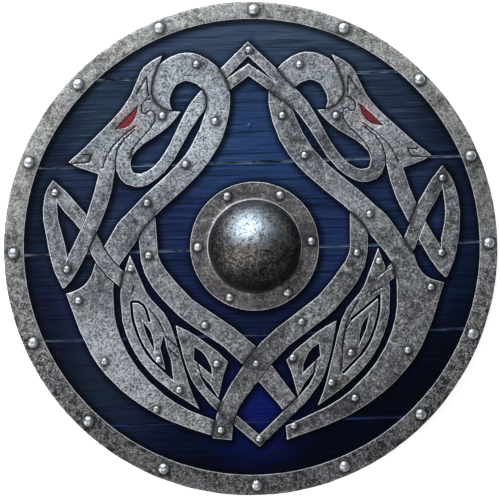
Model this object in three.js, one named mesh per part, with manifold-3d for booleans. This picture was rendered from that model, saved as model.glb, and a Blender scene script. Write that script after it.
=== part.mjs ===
import * as THREE from 'three';
import { mergeVertices } from 'three/addons/utils/BufferGeometryUtils.js';
import Module from 'manifold-3d';

// A wooden round shield with a steel rim, a domed steel boss and steel ornament plates.
// It lies face up: x runs to the right, y up the ornament's axis and z out of the face.
// The origin is on the floor under the middle of the rim, and the back of the grip lies on it.

// Driving sizes in millimetres
const shieldDiameter = 610;
const plankCount = 6;
const plankPitch = 106.5;
const boardThickness = 10;
const plankGap = 0.8;
const fitGap = 0.3;

const rimFaceWidth = 24;
const rimBackWidth = 19;
const rimSheet = 2;
const rimRivetCount = 16;

const bossDiameter = 159;
const domeDiameter = 115;
const domeHeight = 54;
const bossSheet = 1.8;
const domeFoot = 3;
const footHollow = 0.9;
const bossRivetCount = 6;
const handHoleLedge = 4;

const gripWidth = 32;
const gripThickness = 16;
const gripRivetSpacing = 294;
const gripEndMargin = 28;
const gripBackFlat = 20;
const gripEndRise = 6;
const gripTipRise = 8;
const gripTipWidth = 22;
const gripWaistWidth = 29;
const gripShoulderHeight = 7.2;
const gripPadLength = 24;
const gripHandLength = 94;
const gripSwellLength = 150;

const plateThickness = 2;
const ornamentMargin = 18.3;
const crossingGap = 0.9;
const bossClearance = 4;
const grooveWidth = 1.5;
const grooveDepth = 0.8;
const eyeDepth = 0.6;
const slitWidth = 3.4;

const rimRivetHead = 13.5;
const bossRivetHead = 10.6;
const plateRivetHead = 8.4;
const gripRivetHead = 6;
const headRise = 0.3;
const headShoulder = 0.72;
const rivetShank = 4;
const tailWidth = 7.5;
const tailRise = 1.2;

// The ornament and the boss were laid out by hand, a little off the middle of the rim
const layoutOffset = { x: 4, y: 1 };
const bossOffset = { x: 1, y: 1.6 };
const rimFaceOffset = { x: 1.5, y: 2 };
const rimRivetOffset = { x: 0.7, y: 1.2 };
// Each rivet was set by eye, so many degrees away from an even spacing
const bossRivetWander = [3.2, 1.7, -3, -0.6, 2.7, 3.9];
const rimRivetWander = [
  -0.6, -1.6, -1.8, -2.1, -2.3, -1.5, 0, -0.1, -0.3, -0.6, 0.2, -0.8, -0.3, -1.1, -1.2, -0.5,
];
// The upper right of the ornament leans in and down, so much for each mm across times each mm up
const leanInwards = 0.00011;
const leanDown = 0.00018;
const leftLeafTip = { x: 5, y: -4 };
const rightLeafTip = { x: -2.5, y: 4 };

// How finely round things are cut into facets
const rimFacets = 48;
const bossFacets = 24;
const rivetFacets = 6;
const chordError = 0.62;
const curveSteps = 8;

// Places that follow from the sizes
const rimRadius = shieldDiameter / 2;
const boardRadius = rimRadius - rimSheet - fitGap;
const fieldRadius = rimRadius - rimFaceWidth;
const boardBack = gripThickness + fitGap;
const boardFront = boardBack + boardThickness;
const plateBase = boardFront + fitGap;
const plateTop = plateBase + plateThickness;
const flangeTop = plateBase + bossSheet;
const rimBack = boardBack - fitGap - rimSheet;
const rimFront = boardFront + fitGap + rimSheet;
const domeRadius = domeDiameter / 2;
const handHoleRadius = domeRadius - bossSheet - handHoleLedge;
const beyond = 2 * boardThickness;

const wasm = await Module();
wasm.setup();

const paintedWood = { color: 0x16245a, roughness: 0.6, metalness: 0 };
const bareWood = { color: 0x6b4a2c, roughness: 0.75, metalness: 0 };
const agedSteel = { color: 0x8b8e90, roughness: 0.5, metalness: 0.9 };
const darkSteel = { color: 0x77756e, roughness: 0.55, metalness: 0.9 };
const bluePaint = { color: 0x24408c, roughness: 0.5, metalness: 0 };

const shield = new THREE.Group();

function addPiece(name, solid, look) {
  const { vertProperties, triVerts } = solid.getMesh();
  const geometry = new THREE.BufferGeometry();
  geometry.setAttribute('position', new THREE.BufferAttribute(vertProperties, 3));
  geometry.setIndex(new THREE.BufferAttribute(triVerts, 1));
  const mesh = new THREE.Mesh(geometry, new THREE.MeshStandardMaterial(look));
  mesh.name = name;
  shield.add(mesh);
}

// A three.js geometry becomes a solid that can be joined and cut
function solidOf(geometry) {
  geometry.deleteAttribute('normal');
  geometry.deleteAttribute('uv');
  const merged = mergeVertices(geometry, 1e-4);
  const vertProperties = new Float32Array(merged.attributes.position.array);
  const triVerts = new Uint32Array(merged.index.array);
  return new wasm.Manifold(new wasm.Mesh({ numProp: 3, vertProperties, triVerts }));
}

const joined = (first, ...others) => others.reduce((whole, other) => whole.add(other), first);
const cut = (first, ...tools) => tools.reduce((rest, tool) => rest.subtract(tool), first);

function prism(points, low, high) {
  const shape = new THREE.Shape(points);
  const geometry = new THREE.ExtrudeGeometry(shape, { depth: high - low, bevelEnabled: false });
  return solidOf(geometry.translate(0, 0, low));
}

// A turned solid: its profile runs from the axis, or from a point, up the outside and back again
function turned(profile, facets, x = 0, y = 0) {
  const points = profile.map(([radius, height]) => new THREE.Vector2(radius, height));
  const geometry = new THREE.LatheGeometry(points, facets);
  return solidOf(geometry.rotateX(Math.PI / 2).translate(x, y, 0));
}

function disc(radius, low, high, facets, x = 0, y = 0) {
  return turned([[0, low], [radius, low], [radius, high], [0, high]], facets, x, y);
}

// A solid skinned over equal rings of points
function skinned(rings) {
  const count = rings[0].length;
  const positions = rings.flat(2);
  const index = [];
  for (let ring = 0; ring + 1 < rings.length; ring++) {
    for (let k = 0; k < count; k++) {
      const a = ring * count + k;
      const b = ring * count + ((k + 1) % count);
      index.push(a, b + count, b, a, a + count, b + count);
    }
  }
  const last = (rings.length - 1) * count;
  for (let k = 1; k + 1 < count; k++) {
    index.push(0, k, k + 1, last, last + k + 1, last + k);
  }
  const geometry = new THREE.BufferGeometry();
  geometry.setAttribute('position', new THREE.Float32BufferAttribute(positions, 3));
  geometry.setIndex(index);
  return solidOf(geometry);
}

// Rivets

const shankHole = (x, y) => disc(rivetShank / 2 + fitGap, -beyond, plateTop + beyond, rivetFacets, x, y);

function domedHead(width, base, x, y) {
  const radius = width / 2;
  const rise = width * headRise;
  const shoulder = [headShoulder * radius, base + headShoulder * rise];
  const profile = [[0, base], [radius, base], shoulder, [0, base + rise]];
  return turned(profile, rivetFacets, x, y);
}

// A rivet through the board: domed head on the front, shank, and a flattened tail on the back
function rivet(headWidth, seat, tailSeat, x, y) {
  const low = tailSeat - fitGap;
  const shank = disc(rivetShank / 2, low - tailRise / 2, seat + 2 * fitGap, rivetFacets, x, y);
  const tail = disc(tailWidth / 2, low - tailRise, low, rivetFacets, x, y);
  return joined(domedHead(headWidth, seat + fitGap, x, y), shank, tail);
}

function onCircle(radius, degrees) {
  const angle = THREE.MathUtils.degToRad(degrees);
  return [radius * Math.cos(angle), radius * Math.sin(angle)];
}

function ringOfRivets(count, radius, wander, middle) {
  return Array.from({ length: count }, (_, k) => {
    const [x, y] = onCircle(radius, (360 / count) * k + wander[k % wander.length]);
    return [middle.x + x, middle.y + y];
  });
}

const bossMiddle = { x: layoutOffset.x + bossOffset.x, y: layoutOffset.y + bossOffset.y };
const rimRivetRadius = rimRadius - rimFaceWidth / 2;
const bossRivetRadius = (bossDiameter / 2 + domeRadius + domeFoot) / 2;
const rimRivets = ringOfRivets(rimRivetCount, rimRivetRadius, rimRivetWander, rimRivetOffset);
const bossRivets = ringOfRivets(bossRivetCount, bossRivetRadius, bossRivetWander, bossMiddle);

// The ornament is drawn once, for the right side, with the boss at 0, 0. A side of 1 is the right
// of the shield and -1 its mirror image on the left.

// Leaf beside the head: its outer rib reaches farthest out and sets the scale of the drawing
const leafBand = [
  [240, 94, 0.6], [244, 78, 13], [247, 60, 17], [248, 42, 18], [246, 24, 19], [242, 4, 21],
  [239, -18, 17], [237, -33, 9], [236, -43, 2],
];
const drawnReach = Math.max(...leafBand.map(([x, y, width]) => Math.hypot(x, y) + width / 2));
const drawingScale = (fieldRadius - ornamentMargin) / drawnReach;

function onFace(x, y, side) {
  const lean = side > 0 ? Math.max(x, 0) * Math.max(y, 0) : 0;
  const across = side * x - leanInwards * lean;
  const up = y - leanDown * lean;
  return new THREE.Vector2(layoutOffset.x + across * drawingScale, layoutOffset.y + up * drawingScale);
}

// Moves the first station of a band, and the next ones less and less
function tipMoved(stations, { x, y }) {
  return stations.map(([across, up, width], k) => {
    const share = Math.max(1 - k / 4, 0);
    return [across + share * x, up + share * y, width];
  });
}

// Leaves out each sampled point that a straight chord misses by less than the chord error
function thinned(points) {
  const [first, last] = [points[0], points[points.length - 1]];
  const chord = new THREE.Line3(
    new THREE.Vector3(first.x, first.y, 0),
    new THREE.Vector3(last.x, last.y, 0),
  );
  let worst = 0;
  let at = 0;
  const nearest = new THREE.Vector3();
  for (let k = 1; k + 1 < points.length; k++) {
    const here = new THREE.Vector3(points[k].x, points[k].y, 0);
    const miss = chord.closestPointToPoint(here, true, nearest).distanceTo(here);
    if (miss > worst) [worst, at] = [miss, k];
  }
  if (worst < chordError) return [first, last];
  return [...thinned(points.slice(0, at + 1)).slice(0, -1), ...thinned(points.slice(at))];
}

// A smooth curve through stations of x, y and width
function smooth(stations) {
  const knots = stations.map(([x, y, width = 0]) => new THREE.Vector3(x, y, width));
  if (knots.length < 3) return knots;
  return new THREE.CatmullRomCurve3(knots).getPoints(curveSteps * (knots.length - 1));
}

// The flat outline of a band that follows stations of x, y and width, made wider by grow on each side
function bandOutline(stations, side, grow = 0) {
  const path = smooth(stations);
  const left = [];
  const right = [];
  path.forEach((here, k) => {
    const before = path[Math.max(k - 1, 0)];
    const after = path[Math.min(k + 1, path.length - 1)];
    const along = new THREE.Vector2(after.x - before.x, after.y - before.y).normalize();
    const reach = here.z / 2 + grow / drawingScale;
    left.push(onFace(here.x - along.y * reach, here.y + along.x * reach, side));
    right.push(onFace(here.x + along.y * reach, here.y - along.x * reach, side));
  });
  return [...thinned(left), ...thinned(right.reverse())];
}

// The outline of an area: stretches of smooth curve that meet at corners
function areaOutline(stretches, side) {
  return stretches.flatMap((stretch, k) => {
    const next = stretches[(k + 1) % stretches.length][0];
    const curve = smooth([...stretch, next]).map(({ x, y }) => onFace(x, y, side));
    return thinned(curve).slice(0, -1);
  });
}

// Moves each side of an outline outwards by the same distance, with blunt corners
function grown(points, distance) {
  const turn = THREE.ShapeUtils.isClockWise(points) ? -1 : 1;
  return points.map((here, k) => {
    const before = points[(k + points.length - 1) % points.length];
    const after = points[(k + 1) % points.length];
    const arriving = here.clone().sub(before).normalize();
    const leaving = after.clone().sub(here).normalize();
    const out = new THREE.Vector2(arriving.y + leaving.y, -arriving.x - leaving.x).normalize();
    const lean = Math.max(out.x * arriving.y - out.y * arriving.x, 0.5);
    return here.clone().addScaledVector(out, (turn * distance) / lean);
  });
}

const plate = (outline) => prism(outline, plateBase, plateTop);
const through = (outline) => prism(outline, plateBase - fitGap / 2, plateTop + plateThickness);
const sunk = (outline, depth) => prism(outline, plateTop - depth, plateTop + plateThickness);

const band = (stations, side) => plate(bandOutline(stations, side));
const area = (stretches, side) => plate(areaOutline(stretches, side));
const bandClearing = (stations, side) => through(bandOutline(stations, side, crossingGap));
const areaClearing = (stretches, side) => through(grown(areaOutline(stretches, side), crossingGap));

// A fine line scored into a plate along the given points, and an open slit right through it
function scored(points, side) {
  const width = grooveWidth / drawingScale;
  return sunk(bandOutline(points.map(([x, y]) => [x, y, width]), side), grooveDepth);
}

function slit(points, side) {
  const width = slitWidth / drawingScale;
  return through(bandOutline(points.map(([x, y]) => [x, y, width]), side));
}

// Two scored lines, one along each edge of a band that lies over another in the same plate
function edgesScored(stations, side) {
  const ridge = bandOutline(stations, side);
  const ditch = bandOutline(stations, side, grooveWidth);
  return sunk(ditch, grooveDepth).subtract(through(ridge));
}

// Beast head: ear, brow, snout, jaw, neck scroll and cheek fin, clockwise from the ear tip
const headArea = [
  [[106, 240], [120, 233], [130, 225], [136, 214], [141, 202], [147, 190], [157, 176], [170, 162],
    [183, 150], [208, 126]],
  [[225, 112]],
  [[215, 106]],
  [[188, 96]],
  [[172, 100]],
  [[150, 104]],
  [[147, 117], [140, 125], [129, 134], [109, 146], [96, 157]],
  [[85, 170]],
  [[101, 171], [108, 175], [116, 182], [120, 191], [120, 202], [117, 214], [112, 226]],
];

const earLine = [[139, 193], [126, 214], [124, 190]];
const mouthLine = [[222, 110], [200, 111], [196, 121], [208, 120]];
const eyeArea = [[[137, 180], [147, 171], [158, 159]], [[168, 150], [159, 151], [150, 154], [142, 163]]];
const scrollLine = [
  [121, 187], [127, 186], [133, 179], [132, 170], [128, 169], [122, 173], [117, 169], [117, 160],
  [125, 148], [138, 135], [146, 124], [149, 114],
];
const jawLine = [[141, 154], [155, 144], [169, 131], [178, 118], [184, 103]];
const lipLine = [[142, 150], [156, 138], [165, 124], [168, 108], [167, 97]];

// Strap from the jaw down to the foot of the leaf, and the strap that loops under the cheek
const jawBand = [
  [160, 140, 8], [170, 126, 14], [176, 110, 17], [179, 94, 19], [183, 78, 20], [189, 59, 20],
  [197, 39, 19], [206, 20, 19], [216, 1, 19], [226, -18, 18], [232, -33, 11], [236, -43, 2],
];
const cheekBand = [
  [131, 154, 10], [142, 140, 12], [154, 124, 15], [158, 106, 18], [152, 91, 17], [137, 87, 16],
  [121, 94, 14], [107, 107, 14], [94, 126, 14], [84, 145, 15], [74, 162, 17], [65, 175, 19],
  [54, 186, 21], [42, 197, 21],
];
const upperChevron = [[46, 197, 13], [36, 211, 13], [24, 223, 13], [10, 236, 13]];
const lowerChevron = [[46, 186, 13], [32, 197, 13], [20, 206, 13], [8, 214, 13]];
const apexCap = [[[0, 254]], [[16.5, 238.3]], [[8, 229.4]], [[0, 236.5]], [[-8, 229.4]], [[-16.5, 238.3]]];
const lowerApexCap = [
  [[0, 227]], [[13.5, 217.7]], [[6.7, 207.5]], [[0, 212]], [[-6.7, 207.5]], [[-13.5, 217.7]],
];

// Inner rib of the leaf, which runs on as a band to the knot, and the point where the ribs meet
const knotBand = [
  [240, 94, 0.6], [233, 76, 15], [222, 58, 18], [212, 44, 17], [204, 29, 16], [197, 13, 16],
  [191, -2, 17], [181, -17, 17], [169, -30, 17], [161, -37, 17],
];
const leafTip = [[240, 94, 0.6], [240, 84, 9], [239, 72, 9]];
const knotBandEnd = [[182, -22, 15], [168, -36, 15], [154, -46, 14], [146, -52, 14]];

// Neck: a loop behind the head that runs down into the crescent of the body
const neckBand = [
  [104, 166, 20], [109, 180, 21], [108, 197, 25], [100, 215, 32], [85, 224, 34], [73, 225, 35],
  [58, 219, 33], [46, 208, 31], [39, 193, 29], [38, 178, 28], [42, 160, 29], [51, 137, 30],
  [69, 109, 28], [95, 83, 27], [122, 60, 27], [147, 35, 27],
];
const neckSplit = 8;
const bodyArea = [
  [[129, 34], [137, 25], [144, 13], [152, 3], [167, -18], [173, -30], [175, -50], [174, -80],
    [170, -99], [163, -118], [154, -135], [142, -152], [127, -168], [110, -183], [88, -197], [66, -207]],
  [[33, -221]],
  [[34, -238], [62, -229], [90, -219], [115, -208], [140, -193], [164, -175], [183, -156],
    [200, -133], [213, -107], [224, -78]],
  [[233, -50], [222, -47], [211, -41], [202, -30], [196, -13], [178, 16], [164, 38]],
  [[148, 51]],
];

// Band from behind the neck round the boss, across the middle and on to the other side
const innerBand = [
  [131, 46, 21], [131, 25, 22], [130, 8, 22], [129, -8, 22], [124, -24, 24], [114, -40, 26],
  [101, -56, 26], [86, -72, 26], [69, -85, 26], [50, -98, 26], [30, -113, 26], [8, -134, 27],
  [-6, -151, 25], [-16, -164, 24], [-25, -176, 23],
];
const innerBandRun = [[-33, -189, 22], [-40, -204, 22], [-44, -220, 22], [-46, -235, 24]];
const innerCrossing = [-1, -143];
const innerBandTail = [...innerBand.slice(12), [-32, -185, 22], [-39, -195, 22]];

// Knot leaf between the body and the inner band, with a smaller leaf inside it
const leafArea = [
  [[153, -5], [158, -18], [163, -34], [166, -52], [166, -70], [164, -88], [159, -106], [152, -122],
    [143, -137], [132, -151], [118, -165], [100, -179], [86, -188]],
  [[73, -197], [80, -181], [86, -163], [90, -147], [94, -132], [98, -117], [102, -103], [106, -91],
    [112, -79], [121, -68], [130, -58], [137, -46], [142, -33], [148, -19]],
];
const leafSlit = [[153, -62], [152, -82], [148, -98], [141, -116], [132, -131], [119, -145], [105, -158]];
const leafHeart = [[[140, -86], [137, -99], [132, -112]], [[126, -124], [127, -112], [130.5, -99]]];
const leafWedge = [
  [[114, -104]], [[119, -120]], [[115, -138]], [[113, -151]], [[104, -161]], [[106, -136], [111, -120]],
];
const leftLeafFork = [[153, -62], [143, -63], [136, -70], [133, -80], [131, -88]];
const rightLeafFork = [[152, -64], [139, -75], [127, -84], [117, -92]];
const leftLeafLines = [
  [[149, -42], [152, -54]],
  [[131, -72], [122, -83], [115, -97], [112, -108]],
  [[113, -105], [96, -121]],
  [[110, -120], [96, -134]],
];
const rightLeafLines = [
  [[168, -28], [150, -41]],
  [[157, -53], [142, -61]],
  [[128, -67], [120, -80], [111, -98], [107, -118], [105, -140], [103, -156]],
  [[117, -92], [110, -104], [107, -118]],
];

// Knot corner beside the crossing, and the thin strap that runs from it to the bottom point
const cornerArea = [
  [[99, -93], [87, -99], [74, -107], [60, -118], [46, -129]],
  [[36, -140], [41, -152], [45, -167]],
  [[49, -184], [56, -171], [64, -161]],
  [[74, -150]],
  [[88, -140], [91, -124], [96, -109]],
];
const cornerHole = [
  [[77, -120], [67, -127], [60, -138], [56, -148]], [[56, -156], [64, -149]], [[78, -136]],
];
const cornerLine = [[73, -141], [70, -154], [63, -167]];
const thinBand = [
  [90, -112, 10], [86, -129, 11], [81, -146, 11], [75, -161, 11], [67, -174, 10], [56, -187, 11],
  [43, -199, 11], [29, -212, 11], [14, -226, 11], [6, -233, 11],
];
const footCap = [
  [[0, -231]], [[4.1, -227.8]], [[10.9, -235.6]], [[0, -245.5]], [[-10.9, -235.6]], [[-4.1, -227.8]],
];

// Where the smiths set the rivets of each plate, read outwards from the middle on its own side
const rivetPlaces = {
  left_head_plate: [[108, 166], [243, 75], [231, -20]],
  left_neck_plate: [[64, 228], [43, 157], [81, 105], [130, 59], [218, -59], [188, -135], [126, -196]],
  left_inner_band: [[130, -6], [63, -94]],
  left_knot_leaf: [[152, -21], [121, -135], [97, -173]],
  left_knot_corner: [[50, -142]],
  right_head_plate: [[106, 160], [1, 244]],
  right_leaf_plate: [[235, 79], [231, -13]],
  right_neck_loop: [[63, 224]],
  right_neck_plate: [
    [40, 162], [66, 112], [144, 37], [217, -55], [186, -132], [119, -189], [43, -221],
  ],
  right_inner_band: [[127, -10], [56, -93], [-47, -224]],
  right_knot_leaf: [[154, -21], [116, -133], [91, -169]],
  right_knot_corner: [[44, -137], [0, -236]],
};

// The lower grip rivet goes through the crossing of the inner bands, the upper one through bare board
const crossingMiddle = onFace(...innerCrossing, 1);
const lowerGripRivet = [crossingMiddle.x, crossingMiddle.y];
const upperGripRivet = [crossingMiddle.x, crossingMiddle.y + gripRivetSpacing];
const gripRivets = [upperGripRivet, lowerGripRivet];
const gripMiddle = { x: crossingMiddle.x, y: crossingMiddle.y + gripRivetSpacing / 2 };

function addPlate(name, side, solid) {
  const room = bossDiameter / 2 + bossClearance;
  const flange = disc(room, -beyond, plateTop + beyond, bossFacets, bossMiddle.x, bossMiddle.y);
  const heads = rivetPlaces[name].map(([x, y]) => {
    const across = layoutOffset.x + side * x * drawingScale;
    return domedHead(plateRivetHead, plateTop - fitGap, across, layoutOffset.y + y * drawingScale);
  });
  addPiece(name, joined(cut(solid, flange), ...heads), agedSteel);
}

const headScoring = (side) => [
  scored(earLine.slice(0, 2), side),
  scored(earLine.slice(1), side),
  ...mouthLine.slice(1).map((end, k) => scored([mouthLine[k], end], side)),
  sunk(areaOutline(eyeArea, side), eyeDepth),
  scored(scrollLine, side),
  scored(jawLine, side),
  scored(lipLine, side),
];

const loopBand = neckBand.slice(0, neckSplit + 1);
const throatBand = neckBand.slice(neckSplit);
const wholeChevron = [cheekBand, upperChevron, lowerChevron];
const longInnerBand = [...innerBand, ...innerBandRun];

const leftLeafBand = tipMoved(leafBand, leftLeafTip);
const leftKnotBand = tipMoved(knotBand, leftLeafTip);
const leftLeafPoint = tipMoved(leafTip, leftLeafTip);
const rightLeafPoint = tipMoved(leafTip, rightLeafTip);
const rightLeafBand = tipMoved(leafBand, rightLeafTip);
const rightKnotBand = tipMoved(knotBand, rightLeafTip);

// Left side: the neck lies over the cheek strap and the jaw strap over the leaf
function addLeftPlates() {
  const side = -1;
  const cheek = cut(band(cheekBand, side), bandClearing(neckBand.slice(4), side));
  const knot = cut(band(leftKnotBand, side), bandClearing(jawBand, side), areaClearing(leafArea, side));
  const neck = joined(band(neckBand, side), area(bodyArea, side), keptNear(knot, knotBand[7], side));
  addPlate('left_head_plate', side, cut(
    joined(
      area(headArea, side),
      band(jawBand, side),
      band(leftLeafBand, side),
      band(leftLeafPoint, side),
      keptNear(knot, knotBand[2], side),
      keptNear(cheek, cheekBand[5], side),
    ),
    ...headScoring(side),
  ));
  addPlate('left_neck_plate', side, keptNear(cut(
    neck,
    areaClearing(headArea, side),
    bandClearing(jawBand, side),
    bandClearing(longInnerBand, -side),
    edgesScored(leftKnotBand, side),
  ), neckBand[10], side));
  addPlate('left_inner_band', side, cut(
    band(innerBand.slice(0, 12), side),
    bandClearing(throatBand, side),
    areaClearing(bodyArea, side),
    bandClearing(longInnerBand, -side),
  ));
  addPlate('left_knot_leaf', side, cut(
    area(leafArea, side),
    slit(leafSlit, side),
    slit(leftLeafFork, side),
    through(areaOutline(leafWedge, side)),
    through(areaOutline(leafHeart, side)),
    ...leftLeafLines.map((line) => scored(line, side)),
  ));
  addPlate('left_knot_corner', side, keptNear(cut(
    knotCorner(side),
    bandClearing(longInnerBand, -side),
  ), thinBand[2], side));
}

// Right side: the cheek strap and both chevrons lie over the neck, and the leaf over the jaw strap
function addRightPlates() {
  const side = 1;
  const arms = [upperChevron, lowerChevron];
  const chevrons = joined(
    ...arms.map((arm) => band(arm, 1)),
    ...arms.map((arm) => cut(band(arm, -1), bandClearing(neckBand, -1))),
    area(apexCap, 1),
    area(lowerApexCap, 1),
  );
  const underNeck = areaClearing(bodyArea, side);
  const strapClearings = wholeChevron.map((stations) => bandClearing(stations, side));
  const jaw = cut(band(jawBand, side), bandClearing(rightKnotBand, side));
  addPlate('right_head_plate', side, cut(
    joined(area(headArea, side), band(cheekBand, side), chevrons, keptNear(jaw, jawBand[3], side)),
    ...headScoring(side),
  ));
  addPlate('right_leaf_plate', side, joined(
    keptNear(jaw, jawBand[9], side),
    keptNear(cut(band(rightKnotBand, side), underNeck), knotBand[2], side),
    band(rightLeafBand, side),
    band(rightLeafPoint, side),
  ));
  const loop = cut(band(loopBand, side), areaClearing(headArea, side), ...strapClearings);
  addPlate('right_neck_loop', side, loop);
  addPlate('right_neck_plate', side, cut(
    joined(band(throatBand, side), area(bodyArea, side)),
    ...strapClearings,
    bandClearing(thinBand, side),
  ));
  addPlate('right_inner_band', side, cut(
    joined(
      band(longInnerBand, side),
      cut(band(innerBandTail, -side), bandClearing(thinBand, side)),
    ),
    bandClearing(throatBand, side),
    underNeck,
    edgesScored(longInnerBand, side).intersect(bandClearing(innerBandTail, -side)),
    shankHole(...lowerGripRivet),
  ));
  addPlate('right_knot_leaf', side, cut(
    joined(area(leafArea, side), cut(band(knotBandEnd, side), underNeck)),
    slit(leafSlit, side),
    slit(rightLeafFork, side),
    through(areaOutline(leafHeart, side)),
    ...rightLeafLines.map((line) => scored(line, side)),
  ));
  const otherArm = cut(band(thinBand, -side), bandClearing(longInnerBand, side));
  addPlate('right_knot_corner', side, joined(
    knotCorner(side),
    area(footCap, side),
    keptNear(otherArm, thinBand[9], -side),
  ));
}

// The one piece of a cut band that holds the given station
function keptNear(solid, [x, y], side) {
  const place = onFace(x, y, side);
  const probe = disc(1, plateBase, plateTop, rivetFacets, place.x, place.y);
  return solid.decompose().find((part) => part.intersect(probe).volume() > 0);
}

function knotCorner(side) {
  return cut(
    joined(area(cornerArea, side), band(thinBand, side)),
    through(areaOutline(cornerHole, side)),
    scored(cornerLine, side),
  );
}

// The board: straight planks, butted edge to edge under the rim

function addPlanks() {
  const holes = [...rimRivets, ...bossRivets, ...gripRivets].map(([x, y]) => shankHole(x, y));
  const handHole = disc(handHoleRadius, -beyond, plateTop, bossFacets, bossMiddle.x, bossMiddle.y);
  const round = disc(boardRadius, boardBack, boardFront, rimFacets);
  for (let k = 0; k < plankCount; k++) {
    const top = (plankCount / 2 - k) * plankPitch - plankGap / 2;
    const bottom = top - plankPitch + plankGap;
    const corners = [[-1, bottom], [1, bottom], [1, top], [-1, top]];
    const strip = corners.map(([end, y]) => new THREE.Vector2(end * shieldDiameter, y));
    const plank = round.intersect(prism(strip, boardBack - fitGap, boardFront + fitGap));
    addPiece(`plank_${k + 1}`, cut(plank, handHole, ...holes), paintedWood);
  }
}

// The rim: a steel channel that wraps the edge of the board, wider on the face than on the back

function addRim() {
  const whole = disc(rimRadius, rimBack, rimFront, rimFacets);
  const channel = disc(rimRadius - rimSheet, rimBack + rimSheet, rimFront - rimSheet, rimFacets);
  const back = disc(rimRadius - rimBackWidth, -beyond, boardFront, rimFacets);
  const { x: faceX, y: faceY } = rimFaceOffset;
  const face = disc(fieldRadius, boardBack, rimFront + rimSheet, rimFacets, faceX, faceY);
  const holes = rimRivets.map(([x, y]) => shankHole(x, y));
  addPiece('rim', cut(whole, channel, back, face, ...holes), darkSteel);
  rimRivets.forEach(([x, y], k) => {
    addPiece(`rim_rivet_${k + 1}`, rivet(rimRivetHead, rimFront, rimBack, x, y), agedSteel);
  });
}

// The boss: a raised dome with a flat flange, hollow and open at the back for the fist

function domeCurve(radius, height, base, steps) {
  return Array.from({ length: steps + 1 }, (_, k) => {
    const angle = (Math.PI / 2) * (k / steps);
    return [radius * Math.cos(angle), base + height * Math.sin(angle)];
  });
}

function addBoss() {
  const outside = domeCurve(domeRadius, domeHeight - bossSheet, flangeTop, 5);
  const inside = domeCurve(domeRadius - bossSheet, domeHeight - bossSheet, plateBase, 4).reverse();
  const foot = [[domeRadius + domeFoot, flangeTop], [domeRadius + footHollow, flangeTop + footHollow]];
  const edge = bossDiameter / 2;
  const profile = [...inside, [edge, plateBase], [edge, flangeTop], ...foot, ...outside.slice(1)];
  profile[0][0] = 0;
  profile[profile.length - 1][0] = 0;
  const holes = bossRivets.map(([x, y]) => shankHole(x, y));
  const boss = turned(profile, bossFacets, bossMiddle.x, bossMiddle.y);
  addPiece('boss', cut(boss, ...holes), darkSteel);
  bossRivets.forEach(([x, y], k) => {
    addPiece(`boss_rivet_${k + 1}`, rivet(bossRivetHead, flangeTop, boardBack, x, y), agedSteel);
  });
}

// The grip: a wooden bar across the hand hole, flat on the board and rounded for the fingers

function gripRing(y, width, back) {
  const half = width / 2;
  const flat = (gripBackFlat / 2) * (width / gripWidth);
  const shoulder = back + gripShoulderHeight * (1 - back / gripThickness);
  const section = [
    [-half, gripThickness],
    [-half, shoulder],
    [-flat, back],
    [flat, back],
    [half, shoulder],
    [half, gripThickness],
  ];
  return section.map(([x, z]) => [gripMiddle.x + x, y, z]);
}

function addGrip() {
  const rivetAt = gripRivetSpacing / 2;
  const upperHalf = [
    [gripHandLength / 2, gripWaistWidth, 0],
    [gripSwellLength / 2, gripWidth, 0],
    [rivetAt - gripPadLength / 2, gripWidth, gripEndRise],
    [rivetAt + gripPadLength / 2, gripWidth, gripEndRise],
    [rivetAt + gripEndMargin, gripTipWidth, gripTipRise],
  ];
  const lowerHalf = upperHalf.map(([y, width, back]) => [-y, width, back]).reverse();
  const stations = [...lowerHalf, ...upperHalf];
  const rings = stations.map(([y, width, back]) => gripRing(gripMiddle.y + y, width, back));
  const holes = gripRivets.map(([x, y]) => shankHole(x, y));
  addPiece('grip', cut(skinned(rings), ...holes), bareWood);
  addPiece('upper_grip_rivet', rivet(gripRivetHead, boardFront, gripEndRise, ...upperGripRivet), bluePaint);
  addPiece('lower_grip_rivet', rivet(plateRivetHead, plateTop, gripEndRise, ...lowerGripRivet), agedSteel);
}

addPlanks();
addRim();
addBoss();
addGrip();
addLeftPlates();
addRightPlates();

export default shield;
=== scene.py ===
# %% [markdown]
# # A round wooden shield, dressed in Blender
#
# The solid model of the shield is the frame of this lesson: planks, rim, boss, grip, rivets and
# twelve ornament plates, in metres, lying face up with the origin on the floor. Each step below
# takes one of those pieces, models it again with more care and gives it its finish.

# %% Load the frame
import math

import bmesh
import bpy
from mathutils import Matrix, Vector, kdtree


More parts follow.
